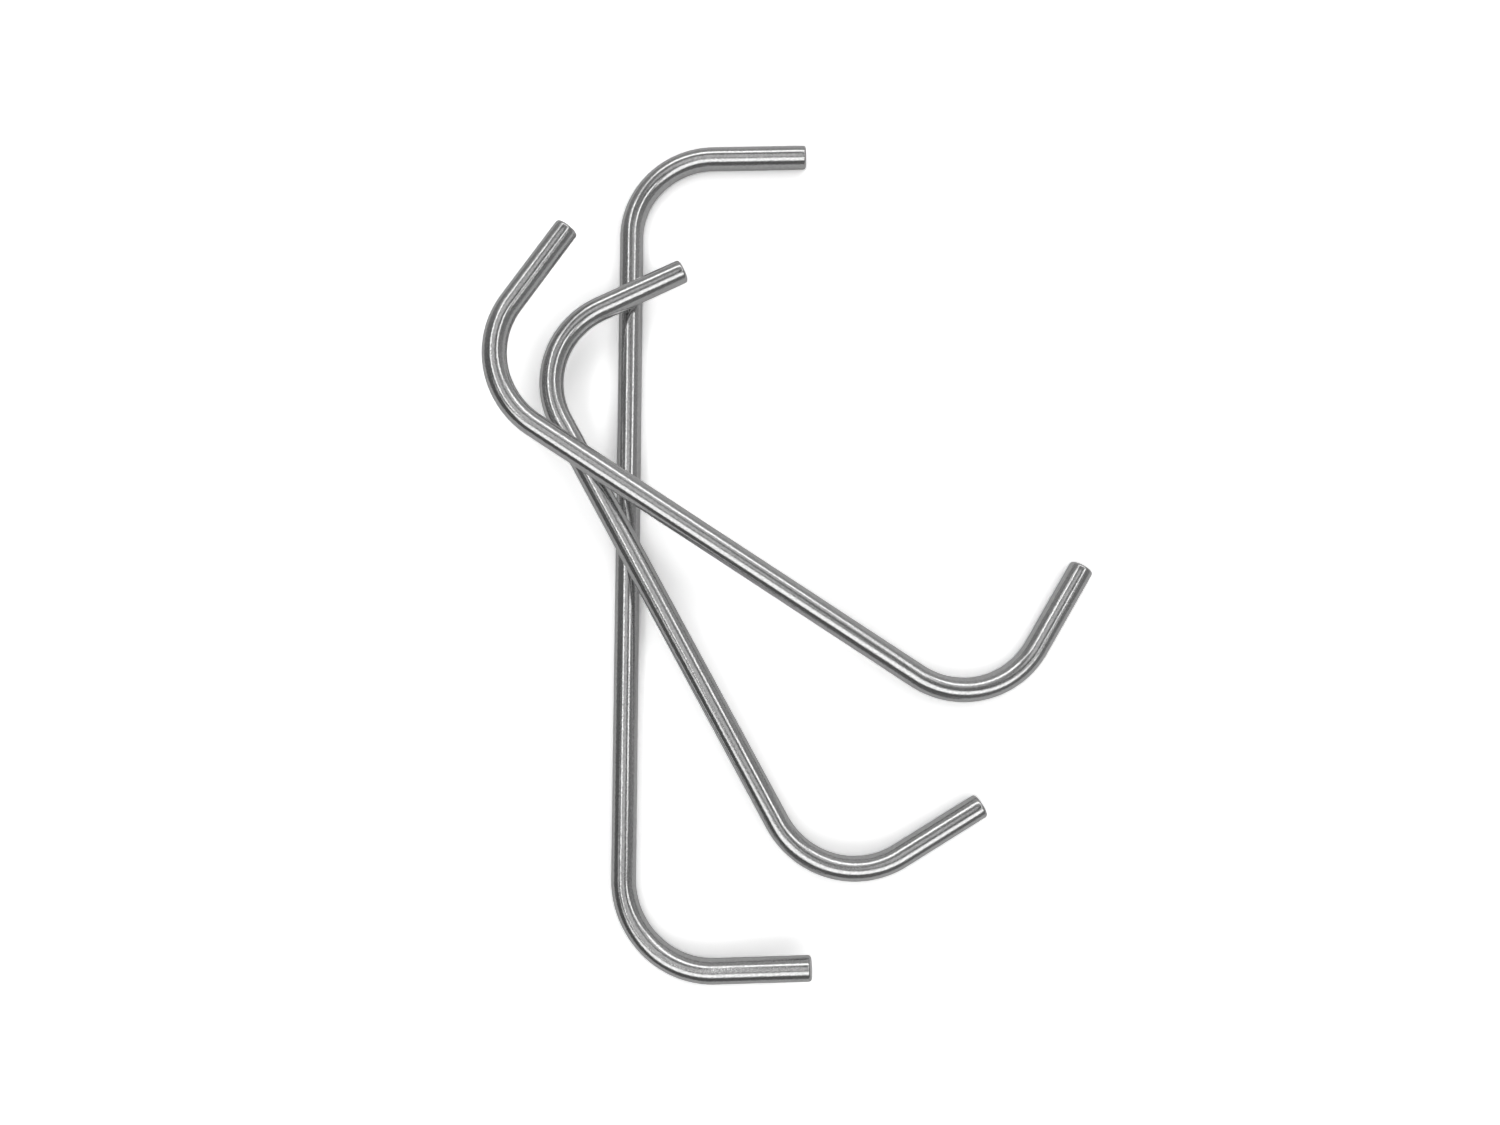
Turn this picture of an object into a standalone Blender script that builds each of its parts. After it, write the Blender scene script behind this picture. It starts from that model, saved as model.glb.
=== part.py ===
"""A set of three loose double pointed needles, bent from round steel rod.

Each needle is one solid rod with a quarter bend near each end, so it has a long
straight middle and two short legs that point the same way.  Both ends are cut
square and their edges are rounded.  The set lies in a pile on a flat surface:
the long needle at the bottom, a short one leaning on it, and another short one
leaning on the first two.

Frame: metres, +Z up, the origin on the surface under the middle of the pile, and
+Y along the middle of the long needle.  Every needle is modelled flat in its own
frame (middle along Y, legs towards +X) and placed by its location and rotation.
"""
import math

import bpy
from mathutils import Matrix, Vector

# The rod
ROD_DIAMETER = 0.005
EDGE_ROUNDING = 0.0006
BEND_RADIUS = 0.0176
LEG_LENGTH = 0.0375            # from the corner of the bend to the blunt end

# The needles: the middle is measured from corner to corner of its two bends
LONG_MIDDLE = 0.170
SHORT_MIDDLE = 0.1284
LONG_UPPER_BEND = 90.5         # inside angle between leg and middle, degrees
LONG_LOWER_BEND = 87.0
SHORT_BEND = 88.0
LONG_LOWER_TWIST = 6.0         # the leg lifts out of the needle's plane, degrees

# The mesh
BEND_STEPS = 12
EDGE_STEPS = 3
ROD_RESOLUTION = 9             # Blender gives 2 * (9 + 2) = 22 sides

# The pile: where each needle's own origin lies, and its turn about X, Y and Z in
# degrees.  The middle needle rests on the long one at two crossings and on the
# surface at its lower end.  The top needle rests on the middle one at a single
# crossing, and its lower leg lies on the surface.
LONG_PLACE = (-0.0337, -0.0006, ROD_DIAMETER / 2)
LONG_TURN = (0.0, 0.0, 0.0)
MIDDLE_PLACE = (-0.0250, -0.0155, 0.00717)
MIDDLE_TURN = (2.04, 3.73, 28.7)
TOP_PLACE = (-0.0130, -0.0022, 0.00982)
TOP_TURN = (6.55, 0.23, 57.1)

STEEL_COLOUR = (0.50, 0.50, 0.50, 1.0)
STEEL_ROUGHNESS = 0.25


def clear_scene():
    for scene_object in list(bpy.data.objects):
        bpy.data.objects.remove(scene_object, do_unlink=True)


def make_collection(name):
    collection = bpy.data.collections.new(name)
    bpy.context.scene.collection.children.link(collection)
    return collection


def steel_material(name):
    material = bpy.data.materials.new(name)
    material.use_nodes = True
    shader = material.node_tree.nodes["Principled BSDF"]
    shader.inputs["Base Color"].default_value = STEEL_COLOUR
    shader.inputs["Metallic"].default_value = 1.0
    shader.inputs["Roughness"].default_value = STEEL_ROUGHNESS
    return material


def leg_direction(side, bend, twist):
    """Unit vector from a corner towards the blunt end; side is 1 at the upper corner, -1 at the lower."""
    bend = math.radians(bend)
    twist = math.radians(twist)
    out = Vector((math.cos(twist), 0.0, math.sin(twist)))
    back = Vector((0.0, -side, 0.0))
    return back * math.cos(bend) + out * math.sin(bend)


def bend_arc(corner, towards_start, towards_end):
    """Points of the arc that rounds a corner, from the first straight's side to the second's."""
    half = towards_start.angle(towards_end) / 2
    bisector = (towards_start + towards_end).normalized()
    centre = corner + bisector * (BEND_RADIUS / math.sin(half))
    tangent_point = corner + towards_start * (BEND_RADIUS / math.tan(half))
    axis = towards_end.cross(towards_start).normalized()
    sweep = math.pi - 2 * half
    points = []
    for step in range(BEND_STEPS + 1):
        turn = Matrix.Rotation(sweep * step / BEND_STEPS, 3, axis)
        points.append(centre + turn @ (tangent_point - centre))
    return points


def end_rings(tip, inwards):
    """Points and radius factors of one rounded end, from the flat face inwards."""
    radius = ROD_DIAMETER / 2
    rings = []
    for step in range(EDGE_STEPS + 1):
        angle = math.pi / 2 * step / EDGE_STEPS
        depth = EDGE_ROUNDING * (1 - math.cos(angle))
        ring_radius = radius - EDGE_ROUNDING * (1 - math.sin(angle))
        rings.append((tip + inwards * depth, ring_radius / radius))
    return rings


def needle_rings(middle, upper_bend, lower_bend, lower_twist):
    """The needle's centre line as (point, radius factor), from the upper end to the lower end."""
    upper_corner = Vector((0.0, middle / 2, 0.0))
    lower_corner = Vector((0.0, -middle / 2, 0.0))
    upper_leg = leg_direction(1, upper_bend, 0.0)
    lower_leg = leg_direction(-1, lower_bend, lower_twist)
    down = Vector((0.0, -1.0, 0.0))
    rings = end_rings(upper_corner + upper_leg * LEG_LENGTH, -upper_leg)
    rings += [(point, 1.0) for point in bend_arc(upper_corner, upper_leg, down)]
    rings += [(point, 1.0) for point in bend_arc(lower_corner, -down, lower_leg)]
    rings += reversed(end_rings(lower_corner + lower_leg * LEG_LENGTH, -lower_leg))
    return rings


def make_needle(name, rings, place, turn, collection):
    curve = bpy.data.curves.new(name, "CURVE")
    curve.dimensions = "3D"
    curve.bevel_depth = ROD_DIAMETER / 2
    curve.bevel_resolution = ROD_RESOLUTION
    curve.use_fill_caps = True
    spline = curve.splines.new("POLY")
    spline.points.add(len(rings) - 1)
    for spline_point, (point, factor) in zip(spline.points, rings):
        spline_point.co = (*point, 1.0)
        spline_point.radius = factor
    spline.use_smooth = True
    curve.materials.append(steel_material(name + "_steel"))
    needle = bpy.data.objects.new(name, curve)
    needle.location = place
    needle.rotation_euler = [math.radians(angle) for angle in turn]
    collection.objects.link(needle)
    return needle


def long_needle(collection):
    rings = needle_rings(LONG_MIDDLE, LONG_UPPER_BEND, LONG_LOWER_BEND, LONG_LOWER_TWIST)
    return make_needle("long_needle", rings, LONG_PLACE, LONG_TURN, collection)


def middle_needle(collection):
    rings = needle_rings(SHORT_MIDDLE, SHORT_BEND, SHORT_BEND, 0.0)
    return make_needle("middle_needle", rings, MIDDLE_PLACE, MIDDLE_TURN, collection)


def top_needle(collection):
    rings = needle_rings(SHORT_MIDDLE, SHORT_BEND, SHORT_BEND, 0.0)
    return make_needle("top_needle", rings, TOP_PLACE, TOP_TURN, collection)


def main():
    clear_scene()
    collection = make_collection("double_pointed_needles")
    long_needle(collection)
    middle_needle(collection)
    top_needle(collection)


main()
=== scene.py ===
"""Looks of the bent double pointed needles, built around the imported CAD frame."""

import math

import bpy
import numpy as np
from mathutils import Euler, Matrix, Vector


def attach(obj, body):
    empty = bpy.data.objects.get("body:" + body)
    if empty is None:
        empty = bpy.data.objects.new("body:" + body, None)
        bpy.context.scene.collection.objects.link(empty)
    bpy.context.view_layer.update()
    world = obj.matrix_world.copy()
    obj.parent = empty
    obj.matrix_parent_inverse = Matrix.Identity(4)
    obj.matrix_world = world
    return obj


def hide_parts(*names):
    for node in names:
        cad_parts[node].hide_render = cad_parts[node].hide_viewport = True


# The rod, in metres and degrees, as in the CAD part
ROD_DIAMETER = 0.005
EDGE_ROUNDING = 0.0006
BEND_RADIUS = 0.0176
LEG_LENGTH = 0.0375
LONG_MIDDLE = 0.170
SHORT_MIDDLE = 0.1284
LONG_UPPER_BEND = 90.5
LONG_LOWER_BEND = 87.0
SHORT_BEND = 88.0
LONG_LOWER_TWIST = 6.0

# The pile, as in the CAD part: each needle's origin, and its turn about X, Y and Z
LONG_PLACE = (-0.0337, -0.0006, ROD_DIAMETER / 2)
LONG_TURN = (0.0, 0.0, 0.0)
MIDDLE_PLACE = (-0.0250, -0.0155, 0.00717)
MIDDLE_TURN = (2.04, 3.73, 28.7)
TOP_PLACE = (-0.0130, -0.0022, 0.00982)
TOP_TURN = (6.55, 0.23, 57.1)

# The fine mesh: sides round the rod, metres between rings, and steps in bends and edges
SIDES = 72
STRAIGHT_STEP = 0.001
BEND_STEPS = 64
EDGE_STEPS = 6
FACE_RINGS = 6
ROD_SPACE = "rod_space"
SAME_POINT = 1e-9

# The steel: each noise's scale per metre, and the share of it that counts across and along the rod
ALONG_LINES = (1.0, 1.0, 0.02)
ALONG_SPECKLE = (1.0, 1.0, 0.7)
ALONG_MOTTLE = (1.0, 1.0, 0.5)
LINE_SCALE = 8000.0
SPECKLE_SCALE = 6000.0
MOTTLE_SCALE = 3500.0
LINE_HEIGHT = 0.2
BUMP_DEPTH = 0.000012
NOISE_LOW = 0.3
NOISE_HIGH = 0.7
DARK_STEEL = 0.47
LIGHT_STEEL = 0.57
SMOOTHEST = 0.10
ROUGHEST = 0.18

# The camera looks almost straight down, in metres, degrees and millimetres of lens
CAMERA_PLACE = (-0.0041, -0.0378, 0.2513)
CAMERA_TURN = (7.834, 0.994, -0.0565)
CAMERA_LENS = 29.2
SENSOR_WIDTH = 36.0
NEAREST_SEEN = 0.01

# The floor: its size in metres, its grey in reflections, and its grey to the camera, which is
# above 1 so that it burns out to white as the photo's background does
FLOOR_SIZE = 4.0
FLOOR_REFLECTED = 0.67
FLOOR_EXPOSED = 1.7

# The height of the light panels, in metres
CEILING = 4.0

# The grey room: brighter to the east and north and darker upwards (WALL_SLOPE), darker again
# due east and due west (SIDE_SHADE), and darker overhead (ZENITH_SHADE)
WALL_SLOPE = (0.071, 0.15, -0.13)
WALL_LEVEL = 0.34
SIDE_SHADE = 0.07
ZENITH_SHADE = -0.07
ZENITH_STARTS = 0.80
ZENITH_FULL = 0.95


def leg_direction(side, bend, twist):
    """Unit vector from a corner to its blunt end. side is 1 at the upper corner, -1 at the lower."""
    bend = math.radians(bend)
    twist = math.radians(twist)
    out = Vector((math.cos(twist), 0.0, math.sin(twist)))
    back = Vector((0.0, -side, 0.0))
    return back * math.cos(bend) + out * math.sin(bend)


def bend_arc(corner, towards_start, towards_end):
    """Points of the arc that rounds a corner."""
    half = towards_start.angle(towards_end) / 2
    bisector = (towards_start + towards_end).normalized()
    centre = corner + bisector * (BEND_RADIUS / math.sin(half))
    tangent_point = corner + towards_start * (BEND_RADIUS / math.tan(half))
    axis = towards_end.cross(towards_start).normalized()
    sweep = math.pi - 2 * half
    points = []
    for step in range(BEND_STEPS + 1):
        turn = Matrix.Rotation(sweep * step / BEND_STEPS, 3, axis)
        points.append(centre + turn @ (tangent_point - centre))
    return points


def straight(start, end):
    """Points from start to end, without the end itself."""
    count = max(2, round((end - start).length / STRAIGHT_STEP))
    return [start.lerp(end, step / count) for step in range(count)]


def end_rings(tip, inwards):
    """(point, radius) of a blunt end: rings of the flat face, then the rounded edge."""
    radius = ROD_DIAMETER / 2
    flat = radius - EDGE_ROUNDING
    rings = [(tip, flat * ring / FACE_RINGS) for ring in range(1, FACE_RINGS)]
    for step in range(EDGE_STEPS + 1):
        angle = math.pi / 2 * step / EDGE_STEPS
        depth = EDGE_ROUNDING * (1 - math.cos(angle))
        rings.append((tip + inwards * depth, flat + EDGE_ROUNDING * math.sin(angle)))
    return rings


def needle_rings(middle, upper_bend, lower_bend, lower_twist):
    """The needle as (point, radius) rings, from the upper end to the lower end."""
    radius = ROD_DIAMETER / 2
    upper_corner = Vector((0.0, middle / 2, 0.0))
    lower_corner = Vector((0.0, -middle / 2, 0.0))
    upper_leg = leg_direction(1, upper_bend, 0.0)
    lower_leg = leg_direction(-1, lower_bend, lower_twist)
    down = Vector((0.0, -1.0, 0.0))
    upper_arc = bend_arc(upper_corner, upper_leg, down)
    lower_arc = bend_arc(lower_corner, -down, lower_leg)
    upper_end = end_rings(upper_corner + upper_leg * LEG_LENGTH, -upper_leg)
    lower_end = end_rings(lower_corner + lower_leg * LEG_LENGTH, -lower_leg)
    route = straight(upper_end[-1][0], upper_arc[0])[1:]
    route += upper_arc[:-1]
    route += straight(upper_arc[-1], lower_arc[0])
    route += lower_arc[:-1]
    route += straight(lower_arc[-1], lower_end[-1][0])
    return upper_end + [(point, radius) for point in route] + lower_end[::-1]


def ring_frames(points):
    """Tangent and two side vectors at each point, carried along without twist."""
    tangents = []
    for index in range(len(points)):
        before = points[max(index - 1, 0)]
        after = points[min(index + 1, len(points) - 1)]
        tangents.append(after - before)
    first_real = next(t for t in tangents if t.length > SAME_POINT)
    last_real = next(t for t in reversed(tangents) if t.length > SAME_POINT)
    half = len(tangents) // 2
    tangents = [
        (t if t.length > SAME_POINT else (first_real if i < half else last_real)).normalized()
        for i, t in enumerate(tangents)
    ]
    side = Vector((0.0, 0.0, 1.0))
    frames = []
    for tangent in tangents:
        side = (side - tangent * side.dot(tangent)).normalized()
        frames.append((tangent, side, tangent.cross(side)))
    return frames


def rod_mesh(name, rings, seed):
    """A closed tube through the rings. rod_space holds each point's place on the rod unbent."""
    points = [point for point, _ in rings]
    frames = ring_frames(points)
    vertices = []
    rod_space = []
    along = 0.0
    previous = points[0]
    for (point, radius), (_, side, across) in zip(rings, frames):
        along += (point - previous).length
        previous = point
        for index in range(SIDES):
            angle = 2 * math.pi * index / SIDES
            offset = side * math.cos(angle) + across * math.sin(angle)
            vertices.append(point + offset * radius)
            rod_space.append((radius * math.cos(angle), radius * math.sin(angle), along + seed))
    faces = []
    for ring in range(len(rings) - 1):
        low = ring * SIDES
        high = low + SIDES
        for index in range(SIDES):
            following = (index + 1) % SIDES
            faces.append((low + index, low + following, high + following, high + index))
    first_centre = len(vertices)
    vertices.append(points[0])
    rod_space.append((0.0, 0.0, seed))
    last_centre = len(vertices)
    vertices.append(points[-1])
    rod_space.append((0.0, 0.0, along + seed))
    last_ring = (len(rings) - 1) * SIDES
    for index in range(SIDES):
        following = (index + 1) % SIDES
        faces.append((first_centre, following, index))
        faces.append((last_centre, last_ring + index, last_ring + following))
    mesh = bpy.data.meshes.new(name)
    mesh.from_pydata(vertices, [], faces)
    attribute = mesh.attributes.new(ROD_SPACE, "FLOAT_VECTOR", "POINT")
    attribute.data.foreach_set("vector", np.array(rod_space, np.float32).ravel())
    mesh.shade_smooth()
    mesh.validate()
    return mesh


def place_matrix(place, turn):
    """The matrix of a place in metres and a turn about X, Y and Z in degrees."""
    rotation = Euler([math.radians(angle) for angle in turn], "XYZ").to_matrix().to_4x4()
    return Matrix.Translation(place) @ rotation


def grey(level):
    return (level, level, level, 1.0)


class Nodes:
    """Short calls for building a node tree."""

    def __init__(self, tree):
        self.tree = tree

    def add(self, kind, **settings):
        node = self.tree.nodes.new(kind)
        for key, value in settings.items():
            setattr(node, key, value)
        return node

    def put(self, socket, value):
        if isinstance(value, bpy.types.NodeSocket):
            self.tree.links.new(value, socket)
        elif value is not None:
            socket.default_value = value

    def maths(self, operation, a, b=None, clamp=False):
        node = self.add("ShaderNodeMath", operation=operation, use_clamp=clamp)
        self.put(node.inputs[0], a)
        self.put(node.inputs[1], b)
        return node.outputs[0]

    def vector(self, operation, a, b=None):
        node = self.add("ShaderNodeVectorMath", operation=operation)
        self.put(node.inputs[0], a)
        self.put(node.inputs[1], b)
        return node.outputs["Value" if operation == "DOT_PRODUCT" else "Vector"]

    def remap(self, value, low, high, to_low=0.0, to_high=1.0):
        node = self.add("ShaderNodeMapRange", interpolation_type="SMOOTHSTEP")
        for name, put in (("Value", value), ("From Min", low), ("From Max", high),
                          ("To Min", to_low), ("To Max", to_high)):
            self.put(node.inputs[name], put)
        return node.outputs["Result"]

    def noise(self, vector, scale, detail=2.0, roughness=0.5):
        node = self.add("ShaderNodeTexNoise")
        self.put(node.inputs["Vector"], vector)
        self.put(node.inputs["Scale"], scale)
        self.put(node.inputs["Detail"], detail)
        self.put(node.inputs["Roughness"], roughness)
        return node.outputs["Fac"]


def steel_material(name):
    """Drawn steel: fine lines along the rod, faint mottling, and a slightly uneven polish."""
    material = bpy.data.materials.new(name)
    material.use_nodes = True
    nodes = Nodes(material.node_tree)
    shader = material.node_tree.nodes["Principled BSDF"]
    shader.inputs["Metallic"].default_value = 1.0
    place = nodes.add("ShaderNodeAttribute", attribute_name=ROD_SPACE).outputs["Vector"]
    lines = nodes.noise(nodes.vector("MULTIPLY", place, ALONG_LINES), LINE_SCALE, 3.0, 0.6)
    speckle = nodes.noise(nodes.vector("MULTIPLY", place, ALONG_SPECKLE), SPECKLE_SCALE, 1.0, 0.5)
    mottle = nodes.noise(nodes.vector("MULTIPLY", place, ALONG_MOTTLE), MOTTLE_SCALE, 2.0, 0.6)
    tone = nodes.add("ShaderNodeMix", data_type="RGBA")
    nodes.put(tone.inputs["Factor"], nodes.remap(mottle, NOISE_LOW, NOISE_HIGH))
    tone.inputs["A"].default_value = grey(DARK_STEEL)
    tone.inputs["B"].default_value = grey(LIGHT_STEEL)
    nodes.put(shader.inputs["Base Color"], tone.outputs["Result"])
    roughness = nodes.remap(lines, NOISE_LOW, NOISE_HIGH, SMOOTHEST, ROUGHEST)
    nodes.put(shader.inputs["Roughness"], roughness)
    height = nodes.maths("ADD", nodes.maths("MULTIPLY", lines, LINE_HEIGHT), speckle)
    bump = nodes.add("ShaderNodeBump")
    bump.inputs["Strength"].default_value = 1.0
    bump.inputs["Distance"].default_value = BUMP_DEPTH
    nodes.put(bump.inputs["Height"], height)
    nodes.put(shader.inputs["Normal"], bump.outputs["Normal"])
    return material


def make_needle(node, body, rings, place, turn, seed):
    """A fine rod in place of the CAD one. The seed moves it along the noise, so no two look alike."""
    name = node + "_rod"
    mesh = rod_mesh(name, rings, seed)
    mesh.transform(place_matrix(place, turn))
    needle = bpy.data.objects.new(name, mesh)
    bpy.context.scene.collection.objects.link(needle)
    needle.data.materials.append(steel_material(name + "_steel"))
    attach(needle, body)
    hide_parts(node)
    return needle


def make_needles():
    long_rings = needle_rings(LONG_MIDDLE, LONG_UPPER_BEND, LONG_LOWER_BEND, LONG_LOWER_TWIST)
    short_rings = needle_rings(SHORT_MIDDLE, SHORT_BEND, SHORT_BEND, 0.0)
    make_needle("long_needle", "long", long_rings, LONG_PLACE, LONG_TURN, 0.0)
    make_needle("middle_needle", "middle", short_rings, MIDDLE_PLACE, MIDDLE_TURN, 1.0)
    make_needle("top_needle", "top", short_rings, TOP_PLACE, TOP_TURN, 2.0)


def make_floor():
    """A pale plane. As in an over-exposed photo, the camera sees it brighter than the steel does."""
    bpy.ops.mesh.primitive_plane_add(size=FLOOR_SIZE)
    floor = bpy.context.object
    floor.name = "floor"
    material = bpy.data.materials.new("pale_floor")
    material.use_nodes = True
    nodes = Nodes(material.node_tree)
    material.node_tree.nodes.remove(material.node_tree.nodes["Principled BSDF"])
    output = material.node_tree.nodes["Material Output"]
    paper = nodes.add("ShaderNodeBsdfDiffuse")
    paper.inputs["Color"].default_value = grey(FLOOR_REFLECTED)
    exposed = nodes.add("ShaderNodeBsdfDiffuse")
    exposed.inputs["Color"].default_value = grey(FLOOR_EXPOSED)
    mix = nodes.add("ShaderNodeMixShader")
    nodes.put(mix.inputs[0], nodes.add("ShaderNodeLightPath").outputs["Is Camera Ray"])
    nodes.put(mix.inputs[1], paper.outputs[0])
    nodes.put(mix.inputs[2], exposed.outputs[0])
    nodes.put(output.inputs["Surface"], mix.outputs[0])
    floor.data.materials.append(material)


def falloff(nodes, place, half, soft):
    """1 inside the panel's edge, easing to 0 across it. place runs from 0 to 1 across the lamp."""
    from_centre = nodes.maths("ABSOLUTE", nodes.maths("SUBTRACT", place, 0.5))
    whole = 2 * half + soft
    return nodes.remap(from_centre, (half + soft / 2) / whole, (half - soft / 2) / whole, 0.0, 1.0)


def panel(name, east, north, width, depth, turn, radiance, soft):
    """A rectangular panel on the ceiling that dims across its soft edges."""
    lamp = bpy.data.lights.new(name, "AREA")
    lamp.shape = "RECTANGLE"
    lamp.size = (width + soft) * CEILING
    lamp.size_y = (depth + soft) * CEILING
    lamp.energy = radiance * math.pi * lamp.size * lamp.size_y
    lamp.use_nodes = True
    nodes = Nodes(lamp.node_tree)
    across = nodes.add("ShaderNodeSeparateXYZ")
    nodes.put(across.inputs[0], nodes.add("ShaderNodeNewGeometry").outputs["Parametric"])
    glow = nodes.maths("MULTIPLY", falloff(nodes, across.outputs["X"], width / 2, soft),
                       falloff(nodes, across.outputs["Y"], depth / 2, soft))
    nodes.put(lamp.node_tree.nodes["Emission"].inputs["Strength"], glow)
    holder = bpy.data.objects.new(name, lamp)
    holder.matrix_world = place_matrix((east * CEILING, north * CEILING, CEILING), (0.0, 0.0, turn))
    bpy.context.scene.collection.objects.link(holder)


def make_panels():
    """A frame of four panels round the camera, weaker ones at three of its corners, and a dim centre.

    Each line gives east, north, width and depth in ceiling heights, the turn in degrees, the
    radiance, and the width of the soft edge in ceiling heights. The values started as a fit to
    the stripes on the rods in the photo, were rounded, and were then adjusted.
    """
    panel("north_panel", 0.30, 1.04, 1.64, 0.47, 0.0, 2.20, 0.23)
    panel("south_panel", 0.07, -0.74, 2.11, 0.78, 2.0, 1.65, 0.26)
    panel("east_panel", 0.75, 0.27, 0.17, 0.88, -17.5, 2.90, 0.26)
    panel("west_panel", -0.42, 0.32, 0.11, 1.08, 3.5, 3.60, 0.16)
    panel("south_west_panel", -0.59, -0.69, 1.38, 0.35, -55.0, 0.82, 0.31)
    panel("north_west_panel", -0.67, 0.75, 0.19, 0.26, 0.0, 1.26, 0.10)
    panel("north_east_panel", 0.72, 1.04, 0.72, 1.52, -24.5, 0.43, 0.35)
    panel("centre_panel", -0.09, 0.06, 0.66, 0.60, 0.0, 0.60, 0.22)


def make_room():
    """World light: grey walls, brighter to the north, darker overhead, and white to the camera."""
    world = bpy.data.worlds.new("room")
    bpy.context.scene.world = world
    world.use_nodes = True
    nodes = Nodes(world.node_tree)
    background = world.node_tree.nodes["Background"]
    output = world.node_tree.nodes["World Output"]
    towards = nodes.add("ShaderNodeTexCoord").outputs["Generated"]
    parts = nodes.add("ShaderNodeSeparateXYZ")
    nodes.put(parts.inputs[0], towards)
    east, up = parts.outputs["X"], parts.outputs["Z"]
    level = nodes.maths("SQRT", nodes.maths("SUBTRACT", 1.001, nodes.maths("MULTIPLY", up, up)))
    sides = nodes.maths("DIVIDE", nodes.maths("MULTIPLY", east, east), level)
    walls = nodes.maths("ADD", nodes.vector("DOT_PRODUCT", towards, WALL_SLOPE), WALL_LEVEL)
    walls = nodes.maths("SUBTRACT", walls, nodes.maths("MULTIPLY", sides, SIDE_SHADE))
    zenith = nodes.remap(up, ZENITH_STARTS, ZENITH_FULL, 0.0, ZENITH_SHADE)
    nodes.put(background.inputs["Strength"], nodes.maths("ADD", walls, zenith))
    background.inputs["Color"].default_value = grey(1.0)
    white = nodes.add("ShaderNodeBackground")
    white.inputs["Color"].default_value = grey(1.0)
    mix = nodes.add("ShaderNodeMixShader")
    nodes.put(mix.inputs[0], nodes.add("ShaderNodeLightPath").outputs["Is Camera Ray"])
    nodes.put(mix.inputs[1], background.outputs[0])
    nodes.put(mix.inputs[2], white.outputs[0])
    nodes.put(output.inputs["Surface"], mix.outputs[0])


def make_camera():
    lens = bpy.data.cameras.new("camera")
    lens.sensor_width = SENSOR_WIDTH
    lens.lens = CAMERA_LENS
    lens.clip_start = NEAREST_SEEN
    camera = bpy.data.objects.new("camera", lens)
    camera.matrix_world = place_matrix(CAMERA_PLACE, CAMERA_TURN)
    bpy.context.scene.collection.objects.link(camera)
    bpy.context.scene.camera = camera


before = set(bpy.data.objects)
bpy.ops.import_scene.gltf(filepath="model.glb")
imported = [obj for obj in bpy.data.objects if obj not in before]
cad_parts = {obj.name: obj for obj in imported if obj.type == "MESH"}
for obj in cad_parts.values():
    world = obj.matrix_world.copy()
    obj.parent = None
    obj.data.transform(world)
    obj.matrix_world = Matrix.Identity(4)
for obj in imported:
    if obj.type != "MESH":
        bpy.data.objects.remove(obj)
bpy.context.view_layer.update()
make_camera()
make_needles()
make_floor()
make_panels()
make_room()
bpy.context.scene.view_settings.view_transform = "Standard"
